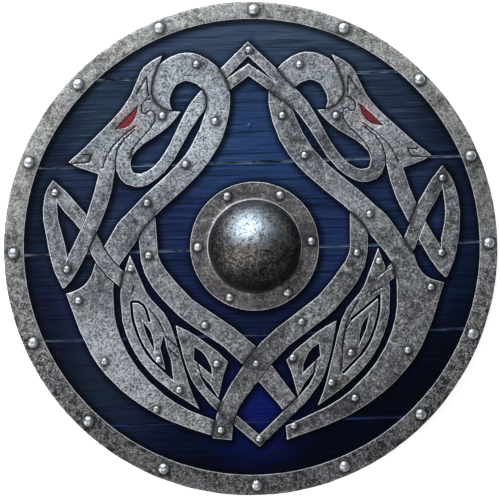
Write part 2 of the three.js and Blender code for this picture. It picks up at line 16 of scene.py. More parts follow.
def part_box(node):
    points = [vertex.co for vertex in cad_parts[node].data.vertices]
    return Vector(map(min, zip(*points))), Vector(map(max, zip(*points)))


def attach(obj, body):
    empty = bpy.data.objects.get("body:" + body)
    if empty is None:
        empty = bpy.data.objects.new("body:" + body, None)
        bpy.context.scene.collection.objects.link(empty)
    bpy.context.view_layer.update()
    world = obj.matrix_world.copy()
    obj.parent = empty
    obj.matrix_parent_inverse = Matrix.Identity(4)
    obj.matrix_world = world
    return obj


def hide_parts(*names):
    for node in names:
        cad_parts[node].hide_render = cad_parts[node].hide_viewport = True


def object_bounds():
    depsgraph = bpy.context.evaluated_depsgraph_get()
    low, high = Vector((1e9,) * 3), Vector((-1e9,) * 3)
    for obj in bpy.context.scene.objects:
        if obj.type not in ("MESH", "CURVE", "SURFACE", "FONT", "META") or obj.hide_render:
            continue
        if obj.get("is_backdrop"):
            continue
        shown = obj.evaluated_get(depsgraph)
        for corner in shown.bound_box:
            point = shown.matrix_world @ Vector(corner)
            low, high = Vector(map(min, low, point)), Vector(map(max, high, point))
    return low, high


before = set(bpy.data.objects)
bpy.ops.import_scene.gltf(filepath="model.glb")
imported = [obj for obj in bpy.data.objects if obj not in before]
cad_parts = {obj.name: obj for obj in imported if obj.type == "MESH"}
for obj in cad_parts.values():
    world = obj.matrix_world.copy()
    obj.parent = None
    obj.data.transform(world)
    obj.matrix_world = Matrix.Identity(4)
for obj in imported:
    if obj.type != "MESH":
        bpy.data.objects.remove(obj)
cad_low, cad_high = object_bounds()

mm = 0.001
print("the frame measures", [round(side / mm, 1) for side in cad_high - cad_low], "mm")

# %% [markdown]
# ## Sizes of the shield
#
# The frame already knows where everything is, so the heights and middles used below are read from
# it. Only the thickness of each sheet has to be said, because a box doesn't show it.

# %% Sizes from the frame
plate_sheet, boss_sheet, rim_sheet = 2 * mm, 1.8 * mm, 2 * mm


def tenths(length):
    """A length of the frame, rounded to tenths of a millimetre."""
    return round(length / mm, 1) * mm


boss_low, boss_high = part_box("boss")
boss_x, boss_y = tenths((boss_low.x + boss_high.x) / 2), tenths((boss_low.y + boss_high.y) / 2)
flange_radius = tenths((boss_high.x - boss_low.x) / 2)
flange_top = tenths(boss_low.z) + boss_sheet
plate_front = tenths(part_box("left_neck_plate")[0].z) + plate_sheet
board_radius = tenths(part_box("plank_1")[1].y)
rim_radius = tenths(cad_high.x)
rim_inner, rim_back_inner = 281 * mm, 286 * mm
rim_face_middle = Vector((1.5 * mm, 2 * mm, 0))
print("plates up to", plate_front / mm, "mm, flange up to", flange_top / mm, "mm")

# %% [markdown]
# ## Camera
#
# The photograph looks straight down on the face from far away, and the shield in it is turned a
# little. A long lens keeps the rim a true circle, and turning the camera leaves the shield square
# to its frame. From the width that the picture shows follows how far away the camera stands.

# %% Camera
lens, sensor_width = 135, 36
picture_width = 616.15 * mm
picture_turn = math.radians(-1.7)
looked_at = Vector((-0.76 * mm, -0.6 * mm, plate_front))
away = picture_width * lens / sensor_width
camera_data = bpy.data.cameras.new("camera")
camera_data.lens = lens
camera_data.sensor_width = sensor_width
camera = bpy.data.objects.new("camera", camera_data)
camera.location = looked_at + Vector((0, 0, away))
camera.rotation_euler = (0, 0, picture_turn)
bpy.context.collection.objects.link(camera)
bpy.context.scene.camera = camera
print("camera", round(camera.location.z, 3), "m above the floor")

# %% [markdown]
# ## Tools for modelling by hand
#
# Most steps are the same few moves: take one object, pick some of its faces or edges by their
# place, and use an edit-mode operator on them. Everything else is deselected first, because an
# operator acts on all that is selected.

# %% Take and pick
def deselect_all():
    """Clears the selection before something new is added."""
    bpy.ops.object.select_all(action="DESELECT")


def take(piece):
    """Leaves one object selected and active, in object mode."""
    if bpy.context.object and bpy.context.object.mode != "OBJECT":
        bpy.ops.object.mode_set(mode="OBJECT")
    deselect_all()
    piece.hide_set(False)
    piece.select_set(True)
    bpy.context.view_layer.objects.active = piece


def middle(part):
    """The middle of an edge or a face."""
    return sum((corner.co for corner in part.verts), Vector()) / len(part.verts)


def pick(piece, kind, wanted):
    """Goes into edit mode, selects the VERT, EDGE or FACE parts that are wanted and counts them."""
    if piece.mode != "EDIT":
        take(piece)
        bpy.ops.object.mode_set(mode="EDIT")
    bpy.ops.mesh.select_mode(type=kind)
    bpy.ops.mesh.select_all(action="DESELECT")
    cells = bmesh.from_edit_mesh(piece.data)
    parts = {"VERT": cells.verts, "EDGE": cells.edges, "FACE": cells.faces}[kind]
    found = [part for part in parts if wanted(part)]
    for part in found:
        part.select_set(True)
    cells.select_flush_mode()
    bmesh.update_edit_mesh(piece.data)
    return len(found)


def pick_all(piece):
    """Goes into edit mode with everything selected."""
    take(piece)
    bpy.ops.object.mode_set(mode="EDIT")
    bpy.ops.mesh.select_all(action="SELECT")


def leave_edit():
    bpy.ops.object.mode_set(mode="OBJECT")


# %% Add, modify and finish
def added(name):
    """Names the primitive that was just added and moves its place into its mesh."""
    piece = bpy.context.object
    piece.name = name
    piece.data.name = name
    bpy.ops.object.transform_apply(location=True, rotation=True, scale=True)
    return piece


def modify(piece, kind, **settings):
    """Adds one modifier, sets it up and applies it."""
    take(piece)
    changes = piece.modifiers.new(kind.lower(), kind)
    for key, value in settings.items():
        setattr(changes, key, value)
    bpy.ops.object.modifier_apply(modifier=changes.name)


def round_edges(piece, width, degrees):
    """Rounds every edge whose faces meet at more than an angle."""
    angle = math.radians(degrees)
    modify(piece, "BEVEL", width=width, segments=2, limit_method="ANGLE", angle_limit=angle)


def face_outwards(piece):
    """Turns the faces of a closed piece, or of a strip, the same way out."""
    pick_all(piece)
    bpy.ops.mesh.normals_make_consistent(inside=False)
    leave_edit()


def stretch_ring(radius_from, radius_to, centre):
    """Draws the selected ring out, or in, to another radius about a centre."""
    share = radius_to / radius_from
    bpy.ops.transform.resize(value=(share, share, 1), center_override=centre)


def smooth(piece, degrees=35):
    """Shades a piece smoothly where its faces meet at less than an angle."""
    take(piece)
    bpy.ops.object.shade_smooth_by_angle(angle=math.radians(degrees))


def place_piece(piece, slot, *nodes):
    """Hangs a finished piece under the root and hides the CAD nodes it stands for; slot is not used.
    """
    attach(piece, "root")
    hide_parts(*nodes)
    print(piece.name, "has", len(piece.data.polygons), "faces")


# %% [markdown]
# ## Tools for finishes
#
# A finish is worked out as sums on sockets. The first small class wraps a socket so that the sums
# can be written as they are read, and one method of the second makes every other node.

# %% A value in a sum
class Value:
    """A socket of a finish that can be used in sums."""

    def __init__(self, finish, socket):
        self.finish = finish
        self.socket = socket

    def math(self, operation, first, second):
        sums = {"operation": operation}
        return self.finish.node("ShaderNodeMath", sums, {0: first, 1: second})

    def __add__(self, other):
        return self.math("ADD", self, other)

    def __mul__(self, other):
        return self.math("MULTIPLY", self, other)

    def __sub__(self, other):
        return self.math("SUBTRACT", self, other)

    def __rsub__(self, other):
        return self.math("SUBTRACT", other, self)

    __radd__ = __add__
    __rmul__ = __mul__


# %% A finish
class Finish:
    """A material whose nodes are made one line at a time."""

    def __init__(self, name):
        self.material = bpy.data.materials.new(name)
        self.material.use_nodes = True
        self.tree = self.material.node_tree
        self.shader = self.tree.nodes["Principled BSDF"]

    def node(self, kind, settings=None, inputs=None, output=0):
        """Makes a node, with its settings first and then its inputs, and gives one output."""
        made = self.tree.nodes.new(kind)
        for key, value in (settings or {}).items():
            setattr(made, key, value)
        for key, value in (inputs or {}).items():
            self.join(value, made.inputs[key])
        return Value(self, made.outputs[output])

    def join(self, value, socket):
        """Links a value to a socket, or sets the socket to a plain number or colour."""
        if isinstance(value, Value):
            self.tree.links.new(value.socket, socket)
        else:
            socket.default_value = value

    def feed(self, **sockets):
        """Connects or sets the shader's own sockets, written with _ for a space."""
        for key, value in sockets.items():
            self.join(value, self.shader.inputs[key.replace("_", " ")])

    def place(self):
        """Where a point is on the object, in metres."""
        return self.node("ShaderNodeTexCoord", output="Object")

    def along(self, axis):
        """How far a point is along x, y or z."""
        place = {0: self.place()}
        return self.node("ShaderNodeSeparateXYZ", inputs=place, output="XYZ".index(axis))

    def stretched(self, x, y, z):
        """The place with each axis multiplied, for grain that runs one way."""
        sums = {"operation": "MULTIPLY"}
        return self.node("ShaderNodeVectorMath", sums, {0: self.place(), 1: (x, y, z)})

    def cloud(self, scale, detail=2.0, rough=0.5, vector=None, warp=0.0):
        """Soft noise from 0 to 1, with so many lumps to the metre."""
        inputs = {"Scale": scale, "Detail": detail, "Roughness": rough, "Distortion": warp}
        inputs["Vector"] = vector or self.place()
        return self.node("ShaderNodeTexNoise", inputs=inputs)

    def rise(self, value, low, high):
        """0 below low, 1 above high and a soft step between them."""
        settings = {"interpolation_type": "SMOOTHSTEP"}
        inputs = {"Value": value, "From Min": low, "From Max": high}
        return self.node("ShaderNodeMapRange", settings, inputs)

    def around(self, x, y, reach):
        """1 at a place on the face, falling softly to 0 at a reach, all in millimetres."""
        here = {0: self.stretched(1, 1, 0), 1: (x * mm, y * mm, 0)}
        gap = self.node("ShaderNodeVectorMath", {"operation": "DISTANCE"}, here, output=1)
        return 1 - self.rise(gap, 0.0, reach * mm)

    def scratches(self, scale, width):
        """Thin wandering lines, where soft noise passes its middle."""
        off = self.cloud(scale, 3, 0.6, warp=0.4) - 0.5
        return 1 - self.rise(off * off, 0.0, width)

    def mix(self, share, first, second):
        """Blends two colours."""
        settings = {"data_type": "RGBA", "clamp_result": True}
        return self.node("ShaderNodeMix", settings, {0: share, 6: first, 7: second}, output=2)

    def mark(self, name):
        """A number that the modelling left on the piece, such as how near a rivet is."""
        return self.node("ShaderNodeAttribute", {"attribute_name": name}, output="Fac")

    def bump(self, height, distance, strength=1.0):
        """Turns height from 0 to 1 into bumps of so many metres."""
        inputs = {"Height": height, "Distance": distance, "Strength": strength}
        return self.node("ShaderNodeBump", inputs=inputs)


# %% A tone
def tone(red, green, blue):
    """A colour from its 0 to 255 numbers on a screen."""
    def linear(part):
        part /= 255
        return part / 12.92 if part <= 0.04045 else ((part + 0.055) / 1.055) ** 2.4
    return (linear(red), linear(green), linear(blue), 1.0)


# a near black, used for real soot stains and for painted shade
soot_and_shade = tone(7, 7, 11)
print("soot is", [round(part, 4) for part in soot_and_shade[:3]], "in Blender's own numbers")

# %% [markdown]
# ## Steel
#
# The plates and the rim are mild steel that was left rough from the fire and rubbed bright by hand.
# Close up it is speckled grey, with a violet or a yellow cast in places. Photographs could show
# that, but three sizes of noise, one inside the other, do it without any picture: fine grain,
# mottling and broad patches. One function makes the speckle for all the steel and paints it lighter
# towards the window as painted light, and each piece then gets its own wear, stains and painted
# shade on top, the hollows included.

# %% Speckled steel
def steel_finish(name, top, low, contrast=1.0, rust=0.0, light_lean=(-0.65, 0.75)):
    """Speckled steel, from the low tone to the top tone along a slant in x and y, as painted light."""
    steel = Finish(name)
    # painted light: the steel gets lighter towards the window, along a slant in x and y
    toward_light = steel.rise(steel.along("X") * light_lean[0] + steel.along("Y") * light_lean[1], -0.2, 0.2)
    fine = steel.cloud(430, 3, 0.65)
    mottle = steel.cloud(150, 4, 0.7)
    patch = steel.cloud(26, 3, 0.6, warp=0.5)
    body = steel.mix(toward_light, low, top)
    tint = steel.rise(steel.cloud(34, 2, 0.5), 0.4, 0.62)
    body = steel.mix(tint * 0.14, body, tone(108, 96, 124))
    body = steel.mix((1 - tint) * 0.16, body, tone(124, 116, 92))
    dark = steel.mix(0.72 * contrast, body, tone(10, 10, 14))
    light = steel.mix(0.5 * contrast, body, tone(240, 242, 246))
    grain = fine * 0.62 + mottle * 0.38
    colour = steel.mix(steel.rise(grain, 0.39, 0.51), dark, body)
    colour = steel.mix(steel.rise(grain, 0.5, 0.61), colour, light)
    colour = steel.mix(steel.scratches(60, 0.0006) * 0.35 * contrast, colour, light)
    colour = steel.mix(steel.rise(patch, 0.48, 0.66) * 0.6 * contrast, colour, tone(24, 24, 27))
    colour = steel.mix((1 - steel.rise(patch, 0.34, 0.48)) * 0.22 * contrast, colour, light)
    if rust:
        brown = steel.rise(steel.cloud(45, 4, 0.6), 0.4, 0.7) * rust
        colour = steel.mix(brown, colour, tone(80, 62, 50))
    return steel, colour, fine, mottle


def finish_steel(steel, colour, fine, mottle, metallic=0.6, rough=0.42):
    """Closes a steel finish once its dirt is on it."""
    steel.feed(Base_Color=colour, Metallic=metallic)
    steel.feed(Roughness=steel.rise(mottle, 0.2, 0.8) * 0.2 + (rough - 0.1))
    steel.feed(Normal=steel.bump(fine * 0.6 + mottle, 0.8 * mm, 0.7))
    return steel.material


# %% [markdown]
# ## Steel of the plates
#
# A hand rubs some places bright and leaves others sooty, and the eyes throw a little red on the
# steel beside them. Each such place is a soft round spot: its x and y on the face and how far it
# reaches, in millimetres, and how strong it is. Painted shade lies round each rivet, along each
# crossing and in every groove, which the finish knows from marks on the mesh and from the height.

# %% Plate steel
rubbed_spots = [
    (-60, 140, 85, 0.9), (-180, -110, 75, 0.6), (-140, -170, 70, 0.6), (160, 150, 60, 0.65),
    (-130, 90, 50, 0.5), (129, 42, 50, 0.5), (-72, -60, 50, 0.2), (72, -75, 50, 0.3),
    (-80, -215, 40, 0.4), (-80, 205, 60, 0.65), (-135, 150, 45, 0.45), (85, 210, 45, 0.5),
    (-168, 128, 38, 0.45),
]
sooty_spots = [
    (-25, -215, 40, 0.55), (-6, -161, 35, 0.3), (111, -195, 50, 0.7), (-245, 40, 50, 0.2),
    (-10, -140, 28, 0.35),
]
eye_spots = [(-146, 162, 24, 0.28), (149, 163, 24, 0.28)]

steel, colour, fine, mottle = steel_finish("plate steel", tone(118, 123, 131), tone(96, 97, 100), 0.9)
rubbed = steel.rise(fine, 0.38, 0.56)
for x, y, reach, share in rubbed_spots:
    colour = steel.mix(steel.around(x, y, reach) * rubbed * share, colour, tone(206, 212, 220))
for x, y, reach, share in sooty_spots:
    colour = steel.mix(steel.around(x, y, reach) * share, colour, soot_and_shade)
for x, y, reach, share in eye_spots:
    colour = steel.mix(steel.around(x, y, reach) * share, colour, tone(206, 112, 118))
# painted shadow round each rivet head, shifted to the lower right
colour = steel.mix(steel.rise(steel.mark("near_rivet"), 0.05, 0.62) * 0.85, colour, soot_and_shade)
# painted shade along the crossings of the plates
colour = steel.mix(steel.rise(steel.mark("near_crossing"), 0.1, 0.85) * 0.85, colour, soot_and_shade)
# painted shade on everything below the face: the grooves and the sawn sides
in_groove = 1 - steel.rise(steel.along("Z"), plate_front - 0.4 * mm, plate_front - 0.1 * mm)
plate_steel = finish_steel(steel, steel.mix(in_groove, colour, soot_and_shade), fine, mottle)
print(plate_steel.name, "has", len(plate_steel.node_tree.nodes), "nodes")

# %% Worn edges
steel, colour, fine, mottle = steel_finish("worn edge", tone(244, 247, 252), tone(214, 217, 222), 0.4)
# painted shade where the plates cross
colour = steel.mix(steel.rise(steel.mark("near_crossing"), 0.25, 0.75) * 0.9, colour, soot_and_shade)
worn_edge_and_highlight = finish_steel(steel, colour, fine, mottle, metallic=0.3, rough=0.4)
print(worn_edge_and_highlight.name, "shines along the filed edges of plates, rim and boss")

# %% [markdown]
# ## Steel of the rim, the boss and the rivets
#
# The rim is lighter at the top as painted light, darker still towards the foot of the shield and
# flecked with bright nicks. The dome of the boss is nearly black with a patch rubbed bright above
# its middle and painted as a highlight, cold where it faces the window and warm below, with painted
# shade round its sides and foot. The rivets are the cleanest.

# %% Rim steel
# painted light: the rim goes from a lit tone at the top to a dark tone at the foot
rim_tones = tone(146, 146, 142), tone(36, 38, 43)
steel, colour, fine, mottle = steel_finish("rim steel", *rim_tones, 0.9, 0.1, light_lean=(-0.1, 1.5))
nicks = steel.scratches(150, 0.0006) * steel.rise(mottle, 0.42, 0.55)
colour = steel.mix(nicks * 0.55, colour, tone(236, 236, 230))
# darker towards the foot of the shield, and a little darker at the right
darker_foot = 1 - steel.rise(steel.along("Y"), -0.25, -0.1)
colour = steel.mix(darker_foot * 0.42, colour, soot_and_shade)
colour = steel.mix(steel.around(290, 90, 120) * 0.3, colour, soot_and_shade)
# painted shadow round each rivet, shifted to the lower right
colour = steel.mix(steel.rise(steel.mark("near_rivet"), 0.05, 0.6) * 0.8, colour, soot_and_shade)
rim_steel = finish_steel(steel, colour, fine, mottle)
print(rim_steel.name, "has", len(rim_steel.node_tree.nodes), "nodes")

# %% Boss steel
boss_tones = tone(106, 103, 107), tone(102, 98, 98)
steel, colour, fine, mottle = steel_finish("boss steel", *boss_tones, 0.65, 0.4)
on_dome = steel.rise(steel.along("Z"), flange_top + 1.6 * mm, flange_top + 9.6 * mm)
colour = steel.mix(on_dome * 0.85, colour, tone(34, 34, 37))
# polish and painted highlight: a bright patch above the middle of the dome, cold blue-white where it
# faces the window and warm below
cold = steel.rise(steel.along("Y"), -8 * mm, 22 * mm)
polish_and_highlight = steel.mix(cold, tone(132, 124, 116), tone(190, 205, 220))
pits = steel.rise(fine * 0.6 + mottle * 0.4, 0.38, 0.54)
polish_and_highlight = steel.mix(pits, tone(38, 38, 42), polish_and_highlight)
colour = steel.mix(on_dome * steel.around(4, 20, 53) * 0.9, colour, polish_and_highlight)
colour = steel.mix(on_dome * steel.scratches(130, 0.0008) * 0.5, colour, tone(200, 194, 184))
# painted shade on the sides and foot of the dome, away from its crown
off_crown = 1 - steel.around(2, 16, 70)
colour = steel.mix(on_dome * off_crown * off_crown * 0.85, colour, soot_and_shade)
# painted shadow round each rivet, shifted to the lower right
colour = steel.mix(steel.rise(steel.mark("near_rivet"), 0.05, 0.62) * 0.8, colour, soot_and_shade)
boss_steel = finish_steel(steel, colour, fine, mottle, metallic=0.85)
print(boss_steel.name, "has", len(boss_steel.node_tree.nodes), "nodes")

# %% Rivet steel
rivet_parts = steel_finish("rivet steel", tone(210, 214, 220), tone(198, 200, 204), 0.4)
rivet_steel = finish_steel(*rivet_parts, metallic=0.92, rough=0.34)
print(rivet_steel.name, "has", len(rivet_steel.node_tree.nodes), "nodes")

# %% [markdown]
# ## Painted planks
#
# The face is painted navy blue with a dry brush. It is greyer at the top and lighter there as painted
# sheen from the window, and near black at the foot, so soft steps along y lay one tone over the next,
# and round spots add the bluer places. The brush left fine streaks along each plank, which is noise
# squeezed across the boards and stretched along them. Round the plates and beside the rim the paint
# is darkened as painted shade. Along the seams it has worn off to a paler line, lightened towards the
# top as a painted highlight.

# %% Plank paint
paint = Finish("plank paint")
x, y = paint.along("X"), paint.along("Y")
# painted sheen: these steps along y make the paint lighter towards the top and darker towards the foot
colour = paint.mix(paint.rise(y - x * 0.4, -0.26, -0.06), tone(3, 5, 19), tone(17, 28, 60))
colour = paint.mix(paint.rise(y, -0.1, 0.06), colour, tone(26, 40, 74))
colour = paint.mix(paint.rise(y, 0.06, 0.2), colour, tone(38, 52, 74))
colour = paint.mix(paint.around(0, 130, 150) * 0.8, colour, tone(38, 64, 106))
colour = paint.mix(paint.rise(y, 0.19, 0.29), colour, tone(58, 72, 94))
colour = paint.mix(paint.around(-200, -165, 130) * 0.55, colour, tone(29, 40, 52))
colour = paint.mix(paint.around(0, -200, 90) * 0.85, colour, tone(9, 26, 100))
upper_right = paint.rise(x, 0.1, 0.22) * paint.rise(y, 0.0, 0.1)
colour = paint.mix(upper_right * 0.5, colour, tone(28, 36, 52))
teal = paint.mix(paint.rise(y, -0.06, 0.06), tone(25, 35, 47), tone(36, 52, 62))
colour = paint.mix(paint.rise(x * -1, 0.11, 0.19) * 0.55, colour, teal)
colour = paint.mix(paint.around(95, 5, 75) * 0.5, colour, tone(36, 54, 98))
colour = paint.mix(paint.around(250, -55, 70) * 0.6, colour, tone(14, 32, 64))
violet = paint.rise(paint.cloud(9, 2), 0.45, 0.68) * paint.rise(0.08 - x, 0.0, 0.15)
colour = paint.mix(violet * 0.35, colour, tone(32, 26, 70))

# %% Brush marks and shading
long_grain = paint.cloud(1, 5, 0.7, vector=paint.stretched(9, 330, 90))
hair = paint.cloud(1, 3, 0.75, vector=paint.stretched(18, 700, 300))
grain = long_grain * 0.55 + hair * 0.45
colour = paint.mix((1 - paint.rise(grain, 0.41, 0.5)) * 0.65, colour, tone(3, 5, 14))
# painted sheen: the brush ridges are lighter towards the top as well
ridge = paint.mix(paint.rise(y, -0.2, 0.2), tone(14, 26, 64), tone(84, 106, 136))
colour = paint.mix(paint.rise(grain, 0.53, 0.66) * 0.45, colour, ridge)
# painted shade round the plates, the boss and the rim, shifted to the lower right as a shadow
colour = paint.mix(paint.rise(paint.mark("shaded"), 0.0, 0.9) * 0.85, colour, tone(2, 3, 10))
# painted shade beside the rim at the left and right
inside_rim = paint.around(rim_face_middle.x / mm, rim_face_middle.y / mm, rim_inner / mm + 2)
near_rim = paint.rise(1 - inside_rim, 0.94, 1.0) * paint.rise(x * x, 0.03, 0.055)
colour = paint.mix(near_rim * 0.55, colour, tone(4, 7, 13))
paint.feed(Base_Color=colour, Specular_IOR_Level=0.03)
paint.feed(Roughness=paint.rise(grain, 0.2, 0.8) * 0.2 + 0.5)
paint.feed(Normal=paint.bump(grain, 0.9 * mm, 0.7))
plank_paint = paint.material
print(plank_paint.name, "has", len(plank_paint.node_tree.nodes), "nodes")

# %% Worn seams
seam = Finish("worn seam")
# worn paint and painted highlight: the seam line is lighter towards the top, where the chamfers face
# the window
bare = seam.mix(seam.rise(seam.along("Y"), -0.25, 0.2), tone(34, 46, 96), tone(112, 134, 156))
worn = seam.rise(seam.cloud(1, 4, 0.7, vector=seam.stretched(30, 100, 100)), 0.35, 0.6)
seam.feed(Base_Color=seam.mix(worn, tone(8, 12, 30), bare), Roughness=0.7, Specular_IOR_Level=0.05)
worn_and_lit_seam = seam.material
print(worn_and_lit_seam.name, "is the paint that wore thin along the boards")

# %% [markdown]
# ## Bare wood
#
# The back of the planks and the grip are bare oiled wood. Its grain runs along the piece, which
# again is stretched noise: wide bands for the rings and thin ones for the fibres. No two boards
# are cut from the same tree, so each plank carries a mark that says how dark it is.

# %% Wood finishes
def wood_finish(name, light, dark, grain_scale, ring_scale):
    """Bare wood with its grain along one axis, darker where a board has a mark for it."""
    wood = Finish(name)
    rings = wood.cloud(1, 4, 0.6, vector=wood.stretched(*ring_scale), warp=0.6)
    fibre = wood.cloud(1, 4, 0.65, vector=wood.stretched(*grain_scale))
    colour = wood.mix(wood.rise(rings, 0.3, 0.7), dark, light)
    colour = wood.mix(wood.rise(fibre, 0.5, 0.75) * 0.6, colour, dark)
    colour = wood.mix(wood.mark("board_tone"), colour, dark)
    wood.feed(Base_Color=colour, Roughness=wood.rise(fibre, 0.2, 0.8) * 0.2 + 0.55)
    wood.feed(Normal=wood.bump(fibre, 0.6 * mm, 0.6))
    return wood.material


plank_tones, grip_tones = (tone(158, 118, 78), tone(92, 62, 38)), (tone(132, 92, 58), tone(70, 44, 28))
bare_plank = wood_finish("bare plank", *plank_tones, (16, 420, 420), (5, 60, 60))
grip_wood = wood_finish("grip wood", *grip_tones, (420, 16, 420), (70, 6, 70))
print("wood finishes", bare_plank.name, "and", grip_wood.name)

# %% [markdown]
# ## Outlines of the plates
#
# The paint gets painted shade round the plates, and the plates get painted shade where they cross,
# so the outline of each plate is read first: the sharp edges of its CAD node at the height of its
# face, with a point every 2 mm. The rivets are found in the same way, by the points that stand
# above the face.

# %% Read the outlines
plate_nodes = [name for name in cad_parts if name.startswith(("left_", "right_"))]
same_height = 0.05 * mm
merge_gap = 0.01 * mm


def copy_of_node(name, piece_name):
    """A copy of a CAD node with its loose triangles merged into one skin."""
    piece = bpy.data.objects.new(piece_name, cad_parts[name].data.copy())
    bpy.context.collection.objects.link(piece)
    piece.data.materials.clear()
    pick_all(piece)
    bpy.ops.mesh.remove_doubles(threshold=merge_gap)
    leave_edit()
    return piece


def points_along(start, end, step=2 * mm):
    """Points on a straight line, at most a step apart."""
    count = max(1, math.ceil((end - start).length / step))
    return [start.lerp(end, k / count) for k in range(count)]


def is_outline(edge):
    """True for a sharp edge at the height of the face."""
    level = all(abs(corner.co.z - plate_front) < same_height for corner in edge.verts)
    return level and edge.calc_face_angle(0) > math.radians(60)


outlines, rivet_spots, plates = {}, {}, {}
for node in plate_nodes:
    plates[node] = copy_of_node(node, node.replace("_plate", "") + "_steel")
    cells = bmesh.new()
    cells.from_mesh(plates[node].data)
    lines = [[corner.co for corner in edge.verts] for edge in cells.edges if is_outline(edge)]
    outlines[node] = [point for line in lines for point in points_along(*line)]
    rivet_spots[node] = [v.co.copy() for v in cells.verts if v.co.z > plate_front + 2 * mm]
    cells.free()
print(len(plates), "plates with", sum(map(len, rivet_spots.values())), "rivets")

# %% [markdown]
# ## Marks
#
# A mark is a number on each point of a mesh that a finish can read. Here it says how near the
# point is to a set of places, 1 on them and 0 beyond a reach. A shift moves the whole mark a
# little to the lower right, away from the window, as a shadow would fall.

# %% Leave a mark
def finder(points):
    """A quick way to find the nearest of many points."""
    tree = kdtree.KDTree(len(points))
    for k, point in enumerate(points):
        tree.insert((point[0], point[1], 0), k)
    tree.balance()
    return tree


def leave_mark(piece, name, tree, reach, shift=0.0):
    """Marks each point of a piece by its nearness to the places in a tree."""
    layer = piece.data.attributes.new(name, "FLOAT", "POINT")
    values = []
    for vertex in piece.data.vertices:
        here = (vertex.co.x - shift, vertex.co.y + shift, 0)
        gap = tree.find(here)[2]
        values.append(max(0.0, 1 - gap / reach))
    layer.data.foreach_set("value", values)


def circle_points(radius, centre_x, centre_y, count):
    """Points on a circle."""
    turns = [2 * math.pi * k / count for k in range(count)]
    return [(centre_x + radius * math.cos(t), centre_y + radius * math.sin(t)) for t in turns]


shaded_lines = [point for points in outlines.values() for point in points]
shaded_lines += circle_points(flange_radius, boss_x, boss_y, 360)
shaded_lines += circle_points(rim_inner, rim_face_middle.x, rim_face_middle.y, 900)
print("paint is shaded along", len(shaded_lines), "points")

# %% [markdown]
# ## Cutters
#
# The holes are made as in the workshop, after the pieces have their shape: one drill goes through
# everything that a rivet holds, and two round cutters saw the hand hole and the round of the
# board. They are plain cylinders, taken away or kept by a boolean, and are deleted at the end.

# %% Cutters
steps_round = 192
hand_hole_radius = 51.7 * mm
drill_radius = 2.3 * mm
cutter_depth = 200 * mm
through_rivets = [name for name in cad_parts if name.startswith(("rim_rivet", "boss_rivet"))]
through_rivets += ["upper_grip_rivet", "lower_grip_rivet"]


def spot(name):
    """The middle of a rivet's CAD node, and its lowest and highest points."""
    low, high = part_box(name)
    return (low.x + high.x) / 2, (low.y + high.y) / 2, low.z, high.z


def add_cylinder(sides, radius, x=0.0, y=0.0):
    """Adds one upright cylinder that reaches through the whole shield."""
    deselect_all()
    bpy.ops.mesh.primitive_cylinder_add(
        vertices=sides, radius=radius, depth=cutter_depth, location=(x, y, 0)
    )
    return bpy.context.object


def cut_with(piece, cutter, operation="DIFFERENCE"):
    modify(piece, "BOOLEAN", object=cutter, operation=operation, solver="EXACT")


bits = [add_cylinder(16, drill_radius, *spot(name)[:2]) for name in through_rivets]
take(bits[0])
for bit in bits:
    bit.select_set(True)
bpy.ops.object.join()
drill = added("drill")
add_cylinder(steps_round // 2, hand_hole_radius, boss_x, boss_y)
hand_cutter = added("hand cutter")
add_cylinder(steps_round, board_radius)
round_cutter = added("round cutter")
print("cutters ready for", len(through_rivets), "holes")

# %% [markdown]
# ## Planks
#
# Six straight boards lie side by side across the shield, with their long edges eased a little, so
# a fine line shows at each seam. Each is a grid the width of the board, because the shading needs
# points all over its face. It is pulled down to its thickness, eased along its seams and then cut
# to the round, as a joiner would saw it.

# %% Planks
plank_step = 5 * mm
ease = 1.1 * mm
on_line = 0.01 * mm
board_tones = [0.35, 0.05, 0.5, 0.15, 0.4, 0.0]
shade_tree = finder(shaded_lines)


def board(name, low, high):
    """A straight board between two corners, with the front edges of its seams eased."""
    width, length = high.y - low.y, 2 * board_radius
    deselect_all()
    bpy.ops.mesh.primitive_grid_add(
        x_subdivisions=round(length / plank_step), y_subdivisions=round(width / plank_step),
        size=1, location=(0, (low.y + high.y) / 2, high.z),
    )
    bpy.context.object.scale = (length * 1.01, width, 1)
    plank = added(name)
    pick_all(plank)
    bpy.ops.mesh.extrude_region_move(TRANSFORM_OT_translate={"value": (0, 0, low.z - high.z)})
    face_outwards(plank)

    def on_seam(corner):
        return min(abs(corner.co.y - low.y), abs(corner.co.y - high.y)) < on_line

    pick(plank, "EDGE", lambda e: abs(middle(e).z - high.z) < on_line and all(map(on_seam, e.verts)))
    bpy.ops.mesh.bevel(offset=ease, segments=1, affect="EDGES", clamp_overlap=False)
    leave_edit()
    return plank


def paint_board(plank, darkness):
    """Gives each face paint, the worn and lit seam or bare wood by the way it faces."""
    plank.data.materials.clear()
    for finish in (plank_paint, bare_plank, worn_and_lit_seam):
        plank.data.materials.append(finish)
    for face in plank.data.polygons:
        eased = 0.3 < face.normal.z < 0.9
        face.material_index = 2 if eased else 0 if face.normal.z > 0.9 else 1
    # the shaded mark carries the painted shade round the plates, the boss and the rim
    leave_mark(plank, "shaded", shade_tree, 10 * mm, shift=1.5 * mm)
    own_tone = plank.data.attributes.new("board_tone", "FLOAT", "POINT")
    own_tone.data.foreach_set("value", [darkness] * len(plank.data.vertices))


for k, darkness in enumerate(board_tones, 1):
    node = f"plank_{k}"
    low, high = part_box(node)
    plank = board(f"painted_{node}", low, high)
    cut_with(plank, round_cutter, "INTERSECT")
    if low.y < boss_y + hand_hole_radius and high.y > boss_y - hand_hole_radius:
        cut_with(plank, hand_cutter)
    cut_with(plank, drill)
    paint_board(plank, darkness)
    place_piece(plank, "plank_paint", node)

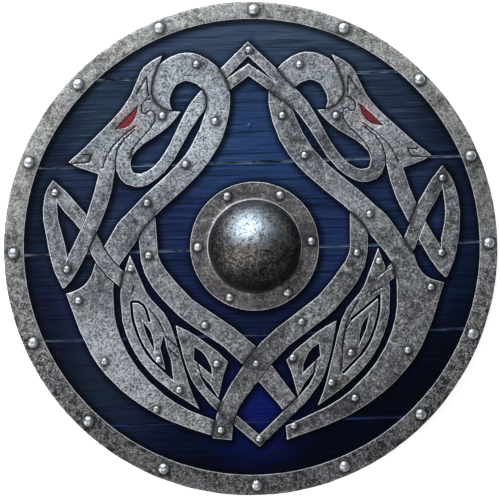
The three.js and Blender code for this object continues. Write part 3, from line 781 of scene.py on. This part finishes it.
# %% [markdown]
# ## Rim
#
# The rim is one strip of 2 mm steel beaten round the edge of the board into a channel, wide on
# the face and a little narrower on the back. It starts as an open ring, its upper edge is drawn
# inwards in five steps and its lower edge in four, and then the sheet gets its thickness. A ring
# like this could be spun from a profile, but drawing it in lets the inner edge lie a little off
# centre, as on the real one. The hammer marks are a cloudy displacement that never goes outwards.

# %% Draw in and hammer
def draw_in(piece, level, from_radius, to_radius, shift, steps):
    """Pulls the open edge at a level across to another radius, in steps."""
    pick(piece, "EDGE", lambda e: e.is_boundary and all(abs(v.co.z - level) < 1e-6 for v in e.verts))
    for k in range(steps):
        here = from_radius + (to_radius - from_radius) * k / steps
        there = from_radius + (to_radius - from_radius) * (k + 1) / steps
        centre = shift * ((k + 1) / steps)
        bpy.ops.mesh.extrude_region_move(TRANSFORM_OT_translate={"value": shift / steps})
        stretch_ring(here, there, (centre.x, centre.y, level))


def hammer(piece, size, depth):
    """Beats shallow marks into a piece, inwards only."""
    marks = bpy.data.textures.new("hammer marks", "CLOUDS")
    marks.noise_scale = size
    marks.noise_depth = 2
    modify(piece, "DISPLACE", texture=marks, texture_coords="LOCAL", strength=depth, mid_level=1.0)


# %% Rim
rim_low, rim_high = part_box("rim")
deselect_all()
bpy.ops.mesh.primitive_cylinder_add(
    vertices=2 * steps_round, radius=rim_radius, depth=rim_high.z - rim_low.z,
    end_fill_type="NOTHING", location=(0, 0, (rim_low.z + rim_high.z) / 2),
)
rim = added("hammered_rim")
draw_in(rim, rim_high.z, rim_radius, rim_inner, rim_face_middle, 5)
draw_in(rim, rim_low.z, rim_radius, rim_back_inner, Vector(), 4)
face_outwards(rim)
hammer(rim, 16 * mm, 1.1 * mm)
modify(rim, "SOLIDIFY", thickness=rim_sheet, offset=-1, use_even_offset=True)
round_edges(rim, 0.8 * mm, 40)
hammer(rim, 7 * mm, 0.6 * mm)
cut_with(rim, drill)

# %% Finish the rim
for finish in (rim_steel, worn_edge_and_highlight):
    rim.data.materials.append(finish)
for face in rim.data.polygons:
    from_middle = (face.center - rim_face_middle).to_2d().length
    inner_edge = from_middle < rim_inner + 1.1 * mm and face.center.z > rim_high.z - 2.2 * mm
    face.material_index = int(inner_edge)
rim_rivets = [spot(name)[:2] for name in through_rivets if name.startswith("rim")]
leave_mark(rim, "near_rivet", finder(rim_rivets), 14 * mm, shift=0.9 * mm)
smooth(rim)
place_piece(rim, "rim_steel", "rim")

# %% [markdown]
# ## Boss
#
# The boss is raised from one disc of sheet steel: a deep dome that leaves room for the fist, and
# a flat flange for its six rivets. The upper half of a ball gives the dome, its open edge is drawn
# out through a tight hollow into the flange, and the sheet gets its thickness inwards.

# %% Boss
dome_radius, dome_rise = 57.5 * mm, cad_high.z - flange_top
foot_rise = 2.6 * mm
foot_radius = dome_radius * math.sqrt(1 - (foot_rise / dome_rise) ** 2)
flange_steps = [(57.9, 1.2), (58.7, 0.4), (60.5, 0), (66, 0), (71, 0), (75.5, 0), (78.7, 0), (79.5, 0)]

deselect_all()
bpy.ops.mesh.primitive_uv_sphere_add(
    segments=steps_round // 2, ring_count=steps_round // 4, radius=dome_radius,
    location=(boss_x, boss_y, flange_top),
)
bpy.context.object.scale = (1, 1, dome_rise / dome_radius)
boss = added("raised_boss")
pick_all(boss)
level = flange_top + foot_rise
bpy.ops.mesh.bisect(plane_co=(0, 0, level), plane_no=(0, 0, 1), clear_inner=True)
pick(boss, "EDGE", lambda e: e.is_boundary)
ring = foot_radius
for radius_mm, rise_mm in flange_steps:
    radius, height = radius_mm * mm, flange_top + rise_mm * mm
    bpy.ops.mesh.extrude_region_move(TRANSFORM_OT_translate={"value": (0, 0, height - level)})
    stretch_ring(ring, radius, (boss_x, boss_y, height))
    ring, level = radius, height
face_outwards(boss)
modify(boss, "SOLIDIFY", thickness=boss_sheet, offset=-1, use_even_offset=True)
round_edges(boss, 0.5 * mm, 60)
hammer(boss, 14 * mm, 0.5 * mm)
cut_with(boss, drill)

# %% Finish the boss
for finish in (boss_steel, worn_edge_and_highlight):
    boss.data.materials.append(finish)
for face in boss.data.polygons:
    gap = (face.center.to_2d() - Vector((boss_x, boss_y))).length
    above_flange = face.center.z - flange_top
    on_edge = gap > flange_radius - 0.9 * mm and above_flange > -1.2 * mm
    on_fold = 57.9 * mm < gap < 59.2 * mm and -0.5 * mm < above_flange < 1.1 * mm
    # painted highlight: the fold gets the bright edge finish only on its upper part, facing the window
    face.material_index = int(on_edge or (on_fold and face.center.y > boss_y - 20 * mm))
boss_rivets = [spot(name)[:2] for name in through_rivets if name.startswith("boss")]
leave_mark(boss, "near_rivet", finder(boss_rivets), 11 * mm, shift=0.8 * mm)
smooth(boss)
place_piece(boss, "boss_steel", "boss")

# %% [markdown]
# ## Rivets
#
# Every rivet has a low domed head, a shank and a tail hammered flat. One is modelled for each
# size: half of a squashed ball, whose flat side is inset and pulled down for the shank and spread
# for the tail. The copies are then moved to where the frame has them.

# %% One rivet
head_share = 0.3
shank_radius, tail_radius, tail_end_radius = 2 * mm, 3.75 * mm, 3.1 * mm
tail_side, tail_bevel = 0.8 * mm, 0.4 * mm


def pull_down(length):
    """Extrudes the picked face downwards."""
    bpy.ops.mesh.extrude_region_move(TRANSFORM_OT_translate={"value": (0, 0, -length)})


def make_rivet(name, head_width, shank_length, finish):
    """A rivet whose head sits on height 0, under the origin."""
    radius = head_width / 2
    deselect_all()
    bpy.ops.mesh.primitive_uv_sphere_add(segments=20, ring_count=12, radius=radius)
    bpy.context.object.scale = (1, 1, head_share * head_width / radius)
    rivet = added(name)
    pick_all(rivet)
    just_above = (0, 0, 0.0001 * mm)
    bpy.ops.mesh.bisect(plane_co=just_above, plane_no=(0, 0, 1), clear_inner=True, use_fill=True)
    if shank_length:
        pick(rivet, "FACE", lambda f: f.normal.z < -0.9)
        bpy.ops.mesh.inset(thickness=radius - shank_radius)
        pull_down(shank_length)
        pull_down(0)
        stretch_ring(shank_radius, tail_radius, (0, 0, -shank_length))
        pull_down(tail_side)
        pull_down(tail_bevel)
        stretch_ring(tail_radius, tail_end_radius, (0, 0, -shank_length - tail_side - tail_bevel))
    leave_edit()
    rivet.data.materials.append(finish)
    smooth(rivet, 50)
    return rivet


def set_rivet(master, name, x, y, z):
    """A copy of a rivet with its own mesh, at its place."""
    rivet = master.copy()
    rivet.data = master.data.copy()
    rivet.name = name
    rivet.data.name = name
    bpy.context.collection.objects.link(rivet)
    take(rivet)
    rivet.location = (x, y, z)
    bpy.ops.object.transform_apply(location=True, rotation=False, scale=False)
    return rivet


# %% Rivets through the board
blue = Finish("rivet paint")
rub = blue.rise(blue.cloud(500, 3, 0.6), 0.5, 0.7)
blue.feed(Base_Color=blue.mix(rub * 0.5, tone(30, 52, 100), tone(90, 110, 150)), Roughness=0.5)

rivet_kinds = {
    "rim_rivet": (13.5 * mm, "rivet_steel", rivet_steel),
    "boss_rivet": (10.6 * mm, "rivet_steel", rivet_steel),
    "upper_grip": (6 * mm, "rivet_paint", blue.material),
    "lower_grip": (8.4 * mm, "rivet_steel", rivet_steel),
}
masters = {}
for name in through_rivets:
    kind = next(k for k in rivet_kinds if name.startswith(k))
    head_width, slot, finish = rivet_kinds[kind]
    x, y, low_z, high_z = spot(name)
    seat = high_z - head_share * head_width
    if kind not in masters:
        shank_length = seat - low_z - tail_side - tail_bevel
        masters[kind] = make_rivet("model " + kind, head_width, shank_length, finish)
    place_piece(set_rivet(masters[kind], "forged_" + name, x, y, seat), slot, name)
for master in masters.values():
    bpy.data.objects.remove(master)

# %% [markdown]
# ## Ornament plates
#
# The two beasts and their knots are sawn from 2 mm sheet, filed along the edges until they shine
# and riveted on. Their outlines are in the frame, so each plate starts as a merged copy of its
# CAD node. Its six-sided rivet heads are cut off and healed, its upper edges are eased and keep a
# bright finish of their own, and the eyes get red enamel. A grid of cuts gives the marks enough
# points to stand on, and round rivets are set again in the same places.

# %% Eye enamel
eye = Finish("eye enamel")
chips = eye.rise(eye.cloud(420, 3, 0.6), 0.42, 0.62)
eye.feed(Base_Color=eye.mix(chips, tone(66, 4, 14), tone(150, 12, 34)), Roughness=0.4)
plate_finishes = (plate_steel, worn_edge_and_highlight, eye.material, rivet_steel)
edge_slot, eye_slot, rivet_slot = 1, 2, 3
print("plates have", len(plate_finishes), "finishes")

# %% Steps of a plate
eye_depth, eye_border = 0.6 * mm, 1.1 * mm
edge_ease = 0.8 * mm
rivet_shade_reach, crossing_reach = 10.5 * mm, 6 * mm
grid_step = 4 * mm


def cut_heads_off(plate):
    """Takes the six-sided rivet heads away and heals the face under them."""
    pick(plate, "FACE", lambda f: max(v.co.z for v in f.verts) > plate_front + same_height)
    bpy.ops.mesh.delete(type="FACE")
    pick(plate, "EDGE", lambda e: e.is_boundary)
    bpy.ops.mesh.fill_holes(sides=0)
    bpy.ops.mesh.select_all(action="SELECT")
    bpy.ops.mesh.remove_doubles(threshold=0.12 * mm)
    bpy.ops.mesh.dissolve_limited(angle_limit=math.radians(1))
    leave_edit()


def is_sawn_edge(edge):
    """True for an edge of the face that goes all the way down, unlike that of a groove."""
    at_front = min(v.co.z for v in edge.verts) > plate_front - same_height
    if not at_front or edge.calc_face_angle(0) <= math.radians(50):
        return False
    lowest = min(v.co.z for f in edge.link_faces for v in f.verts)
    return lowest < plate_front - 1.5 * mm


def file_edges(plate):
    pick(plate, "EDGE", is_sawn_edge)
    bpy.ops.mesh.bevel(
        offset=edge_ease, segments=2, affect="EDGES", clamp_overlap=False, material=edge_slot
    )


def enamel_eye(plate):
    """Fills the pocket of the eye with enamel, inside a narrow border."""
    pocket = plate_front - eye_depth
    if pick(plate, "FACE", lambda f: f.normal.z > 0.9 and abs(middle(f).z - pocket) < same_height):
        bpy.ops.mesh.inset(thickness=eye_border)
        plate.active_material_index = eye_slot
        bpy.ops.object.material_slot_assign()


def grid_cut(piece, step):
    """Cuts a piece into a grid, so that marks on its points are fine enough."""
    corners = [Vector(c) for c in piece.bound_box]
    for axis in (0, 1):
        low, high = min(c[axis] for c in corners), max(c[axis] for c in corners)
        normal = (1 - axis, axis, 0)
        for k in range(math.ceil(low / step), math.floor(high / step) + 1):
            bpy.ops.mesh.select_all(action="SELECT")
            bpy.ops.mesh.bisect(plane_co=(k * step, k * step, 0), plane_no=normal)


def refine_near(plate, tree):
    """Splits the faces beside the rivets, where the painted shade has to fade smoothly."""
    def is_near(face):
        flat_middle = middle(face) * Vector((1, 1, 0))
        return face.normal.z > 0.9 and tree.find(flat_middle)[2] < rivet_shade_reach
    pick(plate, "FACE", is_near)
    bpy.ops.mesh.subdivide(number_cuts=2)


def set_heads(plate, places):
    """Sets a round rivet head at each place and joins them all to the plate."""
    seat = plate_front - 0.1 * mm
    heads = [set_rivet(plate_rivet, f"head {k}", p.x, p.y, seat) for k, p in enumerate(places)]
    take(plate)
    for head in heads:
        head.data.materials.clear()
        for finish in plate_finishes:
            head.data.materials.append(finish)
        for face in head.data.polygons:
            face.material_index = rivet_slot
        head.select_set(True)
    bpy.ops.object.join()


# %% Plates
plate_rivet = make_rivet("model plate rivet", 8.8 * mm, 0, rivet_steel)
for node, plate in plates.items():
    others = [point for other in plate_nodes if other != node for point in outlines[other]]
    near_rivets = finder(rivet_spots[node])
    cut_heads_off(plate)
    for finish in plate_finishes:
        plate.data.materials.append(finish)
    file_edges(plate)
    enamel_eye(plate)
    grid_cut(plate, grid_step)
    refine_near(plate, near_rivets)
    leave_edit()
    leave_mark(plate, "near_rivet", near_rivets, rivet_shade_reach, shift=0.9 * mm)
    leave_mark(plate, "near_crossing", finder(others), crossing_reach)
    smooth(plate, 50)
    set_heads(plate, rivet_spots[node])
    place_piece(plate, "plate_steel", node)
bpy.data.objects.remove(plate_rivet)

# %% [markdown]
# ## Grip
#
# The grip is a bar of ash across the hand hole: thick and rounded where the hand closes on it and
# thinner towards its riveted ends. A long box is cut at each place where it changes, each cut is
# narrowed and its back lifted, and the long edges are rounded over.

# %% Shape the grip
grip_low, grip_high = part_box("grip")
grip_x, grip_y = (grip_low.x + grip_high.x) / 2, (grip_low.y + grip_high.y) / 2
half_length = (grip_high.y - grip_low.y) / 2
grip_width = 32 * mm
stations = [(47, 29, 0), (75, 32, 0), (135, 32, 6), (159, 32, 6), (half_length / mm, 22, 8)]

deselect_all()
bpy.ops.mesh.primitive_cube_add(size=1, location=(grip_x, grip_y, grip_high.z / 2))
bpy.context.object.scale = (grip_width, 2 * half_length, grip_high.z)
grip = added("oiled_grip")
pick_all(grip)
for from_middle, _, _ in stations[:-1]:
    for side in (-1, 1):
        at = grip_y + side * from_middle * mm
        bpy.ops.mesh.select_all(action="SELECT")
        bpy.ops.mesh.bisect(plane_co=(0, at, 0), plane_no=(0, 1, 0))
for from_middle, width, lift in stations:
    for side in (-1, 1):
        at = grip_y + side * from_middle * mm
        share = width * mm / grip_width
        pick(grip, "VERT", lambda v: abs(v.co.y - at) < on_line)
        bpy.ops.transform.resize(value=(share, 1, 1), center_override=(grip_x, at, 0))
        pick(grip, "VERT", lambda v: abs(v.co.y - at) < on_line and v.co.z < grip_high.z / 2)
        bpy.ops.transform.translate(value=(0, 0, lift * mm))
print("the grip changes at", len(stations), "places on each side of its middle")


# %% Round the grip
def is_back_edge(edge):
    """True for the long edges on the side that the fingers close on."""
    far_out = abs(middle(edge).x - grip_x) > 8 * mm
    long_way = abs(edge.verts[0].co.y - edge.verts[1].co.y) > 5 * mm
    return middle(edge).z < 10 * mm and far_out and long_way


pick(grip, "EDGE", is_back_edge)
bpy.ops.mesh.bevel(offset=6 * mm, segments=5, affect="EDGES", clamp_overlap=False)
leave_edit()
round_edges(grip, 1.2 * mm, 40)
cut_with(grip, drill)
grip.data.materials.append(grip_wood)
smooth(grip, 40)
place_piece(grip, "grip_wood", "grip")
for cutter in (drill, hand_cutter, round_cutter):
    bpy.data.objects.remove(cutter)

# %% [markdown]
# ## Floor and light
#
# The shield lies on a plain white floor that glows a little beyond the rim, so that it looks as
# clean as the paper of a product photograph and still takes the shield's soft shadow. One large
# window stands beyond the upper left. A warm lamp near the camera and a second one low at the
# left open the shadows, and an even pale sky does the rest.

# %% Floor
glow_starts = 330
deselect_all()
bpy.ops.mesh.primitive_plane_add(size=12, location=(0, 0, -0.2 * mm))
floor = added("floor")
white = Finish("floor white")
white.feed(Base_Color=(0.95, 0.95, 0.95, 1), Roughness=0.9)
beyond_rim = white.rise(1 - white.around(0, 0, glow_starts), 0.94, 0.99)
glow = white.mix(beyond_rim, (0, 0, 0, 1), (1, 1, 1, 1))
white.feed(Emission_Color=glow, Emission_Strength=0.7)
floor.data.materials.append(white.material)
floor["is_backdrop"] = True
print("the floor glows beyond", glow_starts, "mm")


# %% Lights
def soft_light(name, place, size, power, colour):
    """A square light that looks at the middle of the shield."""
    light = bpy.data.lights.new(name, "AREA")
    light.size = size
    light.energy = power
    light.color = colour
    stand = bpy.data.objects.new(name, light)
    stand.location = place
    stand.rotation_euler = (-Vector(place)).to_track_quat("-Z", "Y").to_euler()
    bpy.context.collection.objects.link(stand)


soft_light("window", (-0.8, 1.9, 1.55), 2.6, 94, (0.92, 0.97, 1.0))
soft_light("warm lamp", (-0.35, -1.25, 2.0), 0.7, 9, (1.0, 0.98, 0.94))
soft_light("low lamp", (-1.7, -0.9, 1.0), 0.9, 14, (1.0, 0.98, 0.95))
world = bpy.data.worlds.new("studio")
bpy.context.scene.world = world
world.use_nodes = True
sky = world.node_tree.nodes["Background"]
sky.inputs["Color"].default_value = (0.86, 0.92, 1.0, 1)
sky.inputs["Strength"].default_value = 0.2
bpy.context.scene.view_settings.view_transform = "Standard"
print("three lights and a pale sky")

# %% Sizes and finish
low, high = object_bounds()
